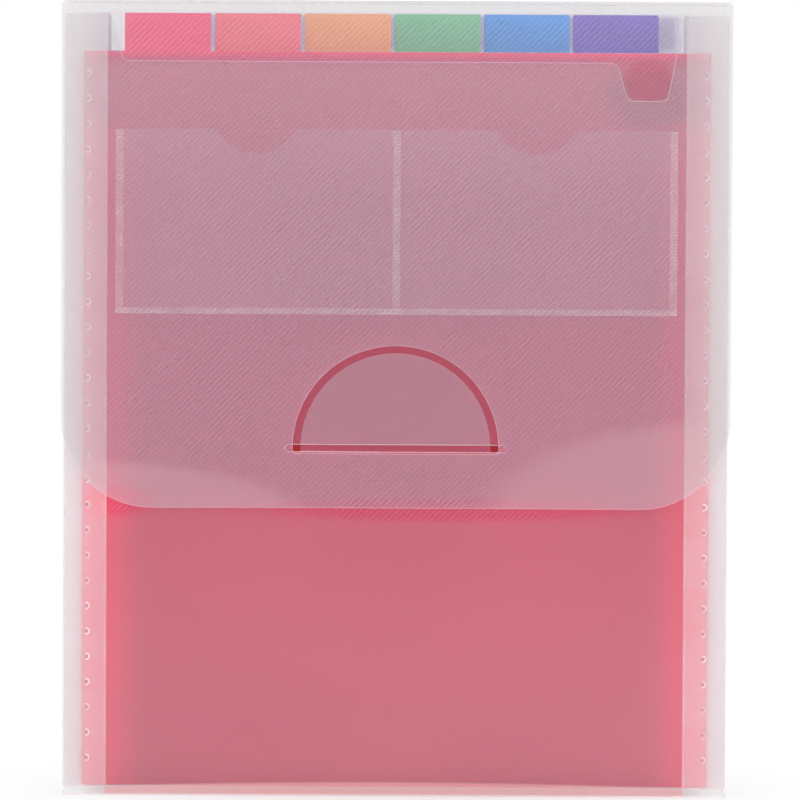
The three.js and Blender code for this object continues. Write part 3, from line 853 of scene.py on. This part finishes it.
class FOLDER_OT_cards(bpy.types.Operator):
    """Build the clear film of the two card pockets and the ribbed welds that hold it"""

    bl_idname = "folder.cards"
    bl_label = "Card pockets"

    BAR = 3 * MM
    FOOT_BAR = BAR * 0.8
    # Share of a step where a rib starts and ends, and how it stands on the film.
    RIB_START, RIB_END = 0.18, 0.82
    RIB_PROUD, RIB_SUNK = mm(0.12, 0.02)
    RIB_TAPER, BAR_TAPER = mm(0.22, 0.05)
    BLOCK_FACES = ((0, 1, 2, 3), (4, 5, 6, 7), (0, 1, 5, 4), (1, 2, 6, 5), (2, 3, 7, 6), (3, 0, 4, 7))

    def execute(self, context):
        low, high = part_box("card_pocket_film")
        half, place = high.x, standing((low.y + high.y) / 2)
        rise = DIP_RADIUS - DIP_DEPTH
        turn = math.degrees(math.acos(rise / DIP_RADIUS))
        outline = [(-half, low.z), (half, low.z), (half, high.z)]
        for centre in (half / 2, -half / 2):
            outline += arc(centre, high.z + rise, DIP_RADIUS, -90 + turn, -90 - turn, 28)
        outline.append((-half, high.z))
        film = frosted_material("clear card film", paint("card"), colours().card_alpha, CARD_ROUGH)
        materials = [film, edge_material("card film edge", paint("card_edge"), 0.2)]
        item = make_sheet("card_pocket_film_sheet", [outline], place, high.y - low.y, materials, BROAD_CELL)
        place_on(item, "case_front", "card_film", "card_pocket_film")
        self.welds()
        return {"FINISHED"}

    def welds(self):
        low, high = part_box("card_pocket_welds")
        film_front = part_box("card_pocket_film")[0].y
        rib_front, rib_back = film_front - self.RIB_PROUD, film_front + self.RIB_SUNK
        lefts = (low.x, -self.BAR / 2, high.x - self.BAR)
        upright = [(left, left + self.BAR, low.z, high.z) for left in lefts]
        level = (low.x, high.x, low.z, low.z + self.FOOT_BAR)
        bm = bmesh.new()
        for bar in upright + [level]:
            along = slice(0, 2) if bar is level else slice(2, 4)
            start, stop = bar[along]
            count = int((stop - start) / sizes().rib_pitch)
            step = (stop - start) / count
            for i in range(count):
                rib = list(bar)
                rib[along] = start + step * (i + self.RIB_START), start + step * (i + self.RIB_END)
                self.block(bm, rib, rib_front, rib_back, self.RIB_TAPER, 1)
            self.block(bm, bar, low.y, high.y, self.BAR_TAPER, 0)
        materials = [bar_weld(), weld_material("weld rib", paint("weld"), 0.17)]
        item = link_object("card_pocket_weld_ribs", new_mesh(bm, "card_pocket_weld_ribs"), materials)
        place_on(item, "case_front", "weld", "card_pocket_welds")

    def block(self, bm, spans, front, back, taper, surface):
        left, right, foot, top = spans
        corners = []
        for y, inset in ((back, 0.0), (front, taper)):
            u0, u1, w0, w1 = left + inset, right - inset, foot + inset, top - inset
            corners += [bm.verts.new((u, y, w)) for u, w in ((u0, w0), (u1, w0), (u1, w1), (u0, w1))]
        for quad in self.BLOCK_FACES:
            bm.faces.new([corners[i] for i in quad]).material_index = surface


class FOLDER_OT_flap(bpy.types.Operator):
    """Build the flap with its round corners, half-moon window and lifted lower corners"""

    bl_idname = "folder.flap"
    bl_label = "Flap"

    def execute(self, context):
        low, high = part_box("flap")
        half, corner_z = high.x, low.z + FLAP_CORNER
        tilt = (high.y - SHEET / 2 - FLAP_CREASE_Y) / FLAP_DROP
        outline = [(half, high.z), (-half, high.z)]
        outline += arc(FLAP_CORNER - half, corner_z, FLAP_CORNER, 180, 270, 24)
        outline += arc(half - FLAP_CORNER, corner_z, FLAP_CORNER, 270, 360, 24)
        inside, round_z = WINDOW_RADIUS - WINDOW_ROUND, WINDOW_FOOT + WINDOW_ROUND
        window = arc(0, SLIT_Z, WINDOW_RADIUS, 0, 180, 64)
        window += arc(-inside, round_z, WINDOW_ROUND, 180, 270, 8)
        window += arc(inside, round_z, WINDOW_ROUND, 270, 360, 8)

        def bend(x, z):
            lift = 0.0
            for zone in LIFTED_ZONES:
                across = (x - zone["Centre X"]) / (zone["Reach X"] * LIFT_ACROSS)
                up = (z - zone["Centre Z"]) / (zone["Reach Z"] * LIFT_UP)
                near = max(0.0, 1 - across * across - up * up)
                lift = max(lift, near * near)
            return Vector((0, (TOP_Z - z) * tilt - lift * sizes().corner_lift, 0))

        materials = [flap_material(), edge_material("flap lip", paint("lip"), 0.17)]
        place, lip = standing(FLAP_CREASE_Y), sizes().lip
        item = make_sheet("flap_sheet", [outline, window], place, SHEET, materials, FLAP_CELL, bend, lip)
        place_on(item, "case_flap", "case_sheet", "flap")
        return {"FINISHED"}


class FOLDER_OT_tongue(bpy.types.Operator):
    """Build the half-moon tongue that passes through the slit and lies behind the front panel"""

    bl_idname = "folder.tongue"
    bl_label = "Closure tongue"

    def execute(self, context):
        low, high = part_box("closure_tongue")
        front_y, back_y = low.y + SHEET / 2, high.y - SHEET / 2
        root, thin, blend_reach = low.z, SHEET * 0.9, 0.4 * MM
        bend_low, bend_high = (root + rise for rise in TONGUE_BEND)
        outline = [(-TONGUE_RADIUS, root), (TONGUE_RADIUS, root)]
        outline += arc(0, SLIT_Z, TONGUE_RADIUS, 0, 180, 64)

        def pass_slit(x, z):
            t = min(1.0, max(0.0, (z - bend_low) / (bend_high - bend_low)))
            return Vector((0, (back_y - front_y) * t * t * (3 - 2 * t), 0))

        materials = [tongue_material(bend_high), case_edge()]
        place = standing(front_y)
        item = make_sheet("closure_tongue_sheet", [outline], place, thin, materials, TONGUE_CELL, pass_slit)
        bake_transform(item)
        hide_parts("closure_tongue")
        return {"FINISHED"}


class FOLDER_OT_dividers(bpy.types.Operator):
    """Build the six coloured dividers with their stepped tabs"""

    bl_idname = "folder.dividers"
    bl_label = "Tab dividers"

    def execute(self, context):
        weld_x = INNER_FOLD_X - 6 * MM
        foot_bow = 0.4
        edge_dye, edge_white = 0.55, 0.4
        for number, name in enumerate(DIVIDERS):
            node = f"divider_{name}"
            low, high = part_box(node)
            shoulder = high.z - TAB_RISE
            left = FIRST_TAB + TAB_PITCH * number
            right = left + TAB_WIDTH
            outline = rounded([
                (low.x, low.z, 0), (high.x, low.z, 0), (high.x, shoulder, TAB_ROUND), (right, shoulder, 0),
                (right, high.z, TAB_ROUND), (left, high.z, TAB_ROUND), (left, shoulder, 0),
                (low.x, shoulder, TAB_ROUND),
            ])

            def bow(x, z, low=low, high=high):
                across = max(0.0, 1 - (x / weld_x) ** 2)
                up = (z - low.z) / (high.z - low.z)
                return Vector((0, -sizes().divider_bow * across * (foot_bow + (1 - foot_bow) * up), 0))

            base = paint(name)
            edge_base = tuple(edge_dye * value + edge_white for value in base)
            materials = [
                divider_material(f"{name} divider sheet", base, behind_slit=number == 0),
                edge_material(f"{name} divider edge", edge_base, 0.55),
            ]
            place, thickness = standing((low.y + high.y) / 2), high.y - low.y
            item = make_sheet(f"{node}_sheet", [outline], place, thickness, materials, DIVIDER_CELL, bow)
            place_on(item, f"{name}_divider", f"{name}_sheet", node)
        return {"FINISHED"}


class FOLDER_OT_gussets(bpy.types.Operator):
    """Build the gusset flanges, the pleats that fold between the sheets and the weld dots"""

    bl_idname = "folder.gussets"
    bl_label = "Side gussets"

    DOT_LOW, DOT_HIGH = mm(15, 289)
    DOT_COLUMN, FAINT_COLUMN = mm(121.6, 128.4)
    DOT_THICK = 0.28 * MM
    DOT_DEPTH = DOT_THICK * 0.6
    FAINT_SHRINK = 0.35
    PIT_SHARE = 0.45
    RING_STEPS, TUBE_STEPS, PIT_STEPS = 14, 6, 8
    # A dot's ring has a painted highlight from this cosine on, so that it reads as a lit crescent that opens
    # to the left.
    HIGHLIGHT_FROM = -0.2

    def execute(self, context):
        materials = [gusset_material(), edge_material("gusset film edge", paint("edge"), 0.45)]
        for side, sign in SIDES.items():
            for end, body in (("front", "case_front"), ("back", "case_back")):
                node = f"{end}_flange_{side}"
                y = node_middle(node).y
                path = [(sign * INNER_FOLD_X, y), (sign * FOLD_X, y)]
                item = film_strip(f"{node}_film", path, FILM, GUSSET_FOOT, GUSSET_TOP, 12, materials)
                place_on(item, body, "gusset_film", node)
            for pocket in range(1, len(STACK)):
                self.pleat(side, sign, pocket, materials)
        self.weld_dots()
        return {"FINISHED"}

    def pleat(self, side, sign, pocket, materials):
        node = f"pleat_{side}_{pocket}"
        low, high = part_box(node)
        front_y, rear_y = low.y + FILM / 2, high.y - FILM / 2
        weld_end, thin = DIVIDER_SIDE + 0.6 * MM, FILM * 0.8
        weld = [(weld_end, rear_y), (INNER_FOLD_X, rear_y)]
        if pocket == 1:
            path = [(FOLD_X, front_y)] + weld
        elif pocket == len(DIVIDERS) + 1:
            path = [(INNER_FOLD_X, front_y), (FOLD_X, rear_y)]
        else:
            path = [(INNER_FOLD_X, front_y), (FOLD_X, (front_y + rear_y) / 2)] + weld
        path = [(sign * x, y) for x, y in path]
        item = film_strip(f"{node}_film", path, thin, GUSSET_FOOT, GUSSET_TOP, 24, materials)
        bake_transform(item)
        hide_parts(node)

    def weld_dots(self):
        pitch = sizes().dot_pitch
        count = round((self.DOT_HIGH - self.DOT_LOW) / pitch)
        for end, y, columns, body in (
            ("front", FRONT_Y - SHEET / 2, (self.DOT_COLUMN, self.FAINT_COLUMN), "case_front"),
            ("back", BACK_Y + SHEET / 2, (self.DOT_COLUMN,), "case_back"),
        ):
            bm = bmesh.new()
            for sign in SIDES.values():
                for faint, x in enumerate(columns):
                    for i in range(count + 1):
                        self.dot(bm, Vector((sign * x, y, self.DOT_LOW + pitch * i)), faint)
            mesh = new_mesh(bm, f"weld_dots_{end}")
            smooth_faces(mesh, 60)
            # Painted highlight: the ring's lit side takes this denser weld, its other side the bar weld; the
            # pit paints shade in the hollow.
            dot = weld_material("weld dot", paint("weld"), 0.5)
            materials = [dot, bar_weld(), weld_material("weld pit", paint("pit"), 0.35)]
            place_on(link_object(f"weld_dots_{end}", mesh, materials), body, "weld")

    def circle(self, steps):
        """Directions around an upright circle."""
        turns = [math.tau * i / steps for i in range(steps)]
        return [Vector((math.cos(turn), 0, math.sin(turn))) for turn in turns]

    def dot(self, bm, centre, faint):
        """A pressed ring with a hollow in its middle, a painted highlight on one side of the ring and
        painted shade in the hollow, or a smaller and dull one where it is faint.
        """
        radius = sizes().dot_radius * (1 - self.FAINT_SHRINK * faint)
        rows = []
        for out in self.circle(self.RING_STEPS):
            row = []
            for tube in self.circle(self.TUBE_STEPS):
                rise = Vector((0, self.DOT_DEPTH * tube.z, 0))
                row.append(bm.verts.new(centre + out * (radius + self.DOT_THICK * tube.x) + rise))
            rows.append(row)
        for i, here in enumerate(rows):
            after = rows[(i + 1) % self.RING_STEPS]
            dull = faint or math.cos(math.tau * (i + 0.5) / self.RING_STEPS) < self.HIGHLIGHT_FROM
            for k in range(self.TUBE_STEPS):
                m = (k + 1) % self.TUBE_STEPS
                bm.faces.new((here[k], here[m], after[m], after[k])).material_index = int(dull)
        if not faint:
            self.pit(bm, centre, radius * self.PIT_SHARE)

    def pit(self, bm, centre, radius):
        rim = [bm.verts.new(centre + out * radius) for out in self.circle(self.PIT_STEPS)]
        for depth in (-self.DOT_DEPTH, self.DOT_DEPTH):
            tip = bm.verts.new(centre + Vector((0, depth, 0)))
            for here, after in zip(rim, rim[1:] + rim[:1]):
                bm.faces.new((here, after, tip)).material_index = 2


class FOLDER_OT_stage(bpy.types.Operator):
    """Set up the floor, the white surround, the soft lamps and the camera"""

    bl_idname = "folder.stage"
    bl_label = "Stage"

    # Name, place, size and power of each soft lamp, and the point that they all face.
    LAMPS = (
        ("key softbox", (-0.9, -1.5, 1.1), 1.2, 16.0),
        ("fill softbox", (1.1, -1.4, 0.7), 1.2, 11.0),
        ("top softbox", (0.0, 0.2, 1.6), 1.4, 9.0),
    )
    LAMP_TARGET = Vector((0, 0, 0.15))
    FLOOR_RADIUS, FLOOR_DROP = 1.6, 0.2 * MM
    FLOOR_TONES = ((0.86, 0.86, 0.86), (0.9, 0.9, 0.9))
    # The floor shows its shadow near the part and turns plain white over this distance.
    FLOOR_FADE = (0.03, 0.2)
    # Strength of the surround as light, and what is added where it is seen.
    SURROUND, SURROUND_SEEN = 0.45, 0.55
    CLEAR_BOUNCES = 64
    LENS, SENSOR, DISTANCE = 343.3, 36, 3.0
    PITCH, ROLL = math.radians(2.86), math.radians(0.3)
    TARGET = Vector((1.69 * MM, FLAP_CREASE_Y, 157.1 * MM))

    def execute(self, context):
        scene = context.scene
        scene.view_settings.view_transform = "Standard"
        scene.cycles.transparent_max_bounces = self.CLEAR_BOUNCES
        self.floor()
        self.surround(scene)
        for name, place, size, power in self.LAMPS:
            lamp = bpy.data.lights.new(name, "AREA")
            lamp.shape = "SQUARE"
            lamp.size = size
            lamp.energy = power
            holder = self.hold(name, lamp)
            holder.location = place
            holder.rotation_euler = (self.LAMP_TARGET - Vector(place)).to_track_quat("-Z", "Y").to_euler()
        self.camera(scene)
        return {"FINISHED"}

    def hold(self, name, data):
        holder = bpy.data.objects.new(name, data)
        bpy.context.scene.collection.objects.link(holder)
        return holder

    def seen(self, nodes):
        """Mask of the rays that see a surface, apart from those that light it."""
        path = nodes.add("ShaderNodeLightPath").outputs
        direct = nodes.math("MAXIMUM", path["Is Camera Ray"], path["Is Glossy Ray"])
        return nodes.math("MAXIMUM", direct, path["Is Transmission Ray"])

    def floor(self):
        bm = bmesh.new()
        bmesh.ops.create_circle(bm, cap_ends=True, segments=96, radius=self.FLOOR_RADIUS)
        mesh = bpy.data.meshes.new("floor")
        bm.to_mesh(mesh)
        bm.free()
        material = bpy.data.materials.new("pale floor")
        material.use_nodes = True
        nodes = NodeTree(material.node_tree)
        shader = material.node_tree.nodes["Principled BSDF"]
        place = nodes.add("ShaderNodeTexCoord").outputs["Object"]
        distance = nodes.add("ShaderNodeVectorMath", {0: place}, operation="LENGTH").outputs["Value"]
        grain = nodes.add("ShaderNodeTexNoise", {"Vector": place, "Scale": 900.0}).outputs[0]
        nodes.feed(shader.inputs["Base Color"], nodes.mix(grain, *self.FLOOR_TONES))
        shader.inputs["Roughness"].default_value = 0.9
        away = nodes.product(self.seen(nodes), nodes.ramp(distance, *self.FLOOR_FADE, 0.5, 1.0))
        white = nodes.add("ShaderNodeEmission", {"Color": (1, 1, 1, 1), "Strength": 1.0}).outputs[0]
        blend = nodes.add("ShaderNodeMixShader", {0: away, 1: shader.outputs[0], 2: white})
        nodes.feed(material.node_tree.nodes["Material Output"].inputs["Surface"], blend.outputs[0])
        floor = link_object("floor", mesh, [material])
        floor.location.z = -self.FLOOR_DROP

    def surround(self, scene):
        world = bpy.data.worlds.new("white surround")
        world.use_nodes = True
        scene.world = world
        nodes = NodeTree(world.node_tree)
        background = world.node_tree.nodes["Background"]
        background.inputs["Color"].default_value = (1, 1, 1, 1)
        strength = nodes.math("MULTIPLY_ADD", self.seen(nodes), self.SURROUND_SEEN, self.SURROUND)
        nodes.feed(background.inputs["Strength"], strength)

    def camera(self, scene):
        data = bpy.data.cameras.new("camera")
        data.lens = self.LENS
        data.sensor_width = self.SENSOR
        holder = self.hold("camera", data)
        back = Vector((0, -math.cos(self.PITCH), math.sin(self.PITCH)))
        holder.location = self.TARGET + back * self.DISTANCE
        aim = (-back).to_track_quat("-Z", "Y")
        holder.rotation_mode = "QUATERNION"
        holder.rotation_quaternion = aim @ Matrix.Rotation(self.ROLL, 3, "Z").to_quaternion()
        scene.camera = holder


OPERATORS = (
    FOLDER_OT_case,
    FOLDER_OT_front,
    FOLDER_OT_cards,
    FOLDER_OT_flap,
    FOLDER_OT_tongue,
    FOLDER_OT_dividers,
    FOLDER_OT_gussets,
    FOLDER_OT_stage,
)


class FOLDER_PT_sidebar(bpy.types.Panel):
    """Lists the folder's operators, sizes and colours"""

    bl_idname = "FOLDER_PT_sidebar"
    bl_label = "File folder"
    bl_space_type = "VIEW_3D"
    bl_region_type = "UI"
    bl_category = "File folder"

    def draw(self, context):
        for operator in OPERATORS:
            self.layout.operator(operator.bl_idname)
        for values in (context.scene.folder_sizes, context.scene.folder_colours):
            box = self.layout.box()
            for key in values.__annotations__:
                box.prop(values, key)


CLASSES = (FolderSizes, FolderColours, *OPERATORS, FOLDER_PT_sidebar)


def register():
    for item in CLASSES:
        bpy.utils.register_class(item)
    bpy.types.Scene.folder_sizes = PointerProperty(type=FolderSizes)
    bpy.types.Scene.folder_colours = PointerProperty(type=FolderColours)


def unregister():
    del bpy.types.Scene.folder_colours
    del bpy.types.Scene.folder_sizes
    for item in reversed(CLASSES):
        bpy.utils.unregister_class(item)


def main():
    register()
    for operator in OPERATORS:
        getattr(bpy.ops.folder, operator.bl_idname.split(".")[1])()


if __name__ == "__main__":
    main()
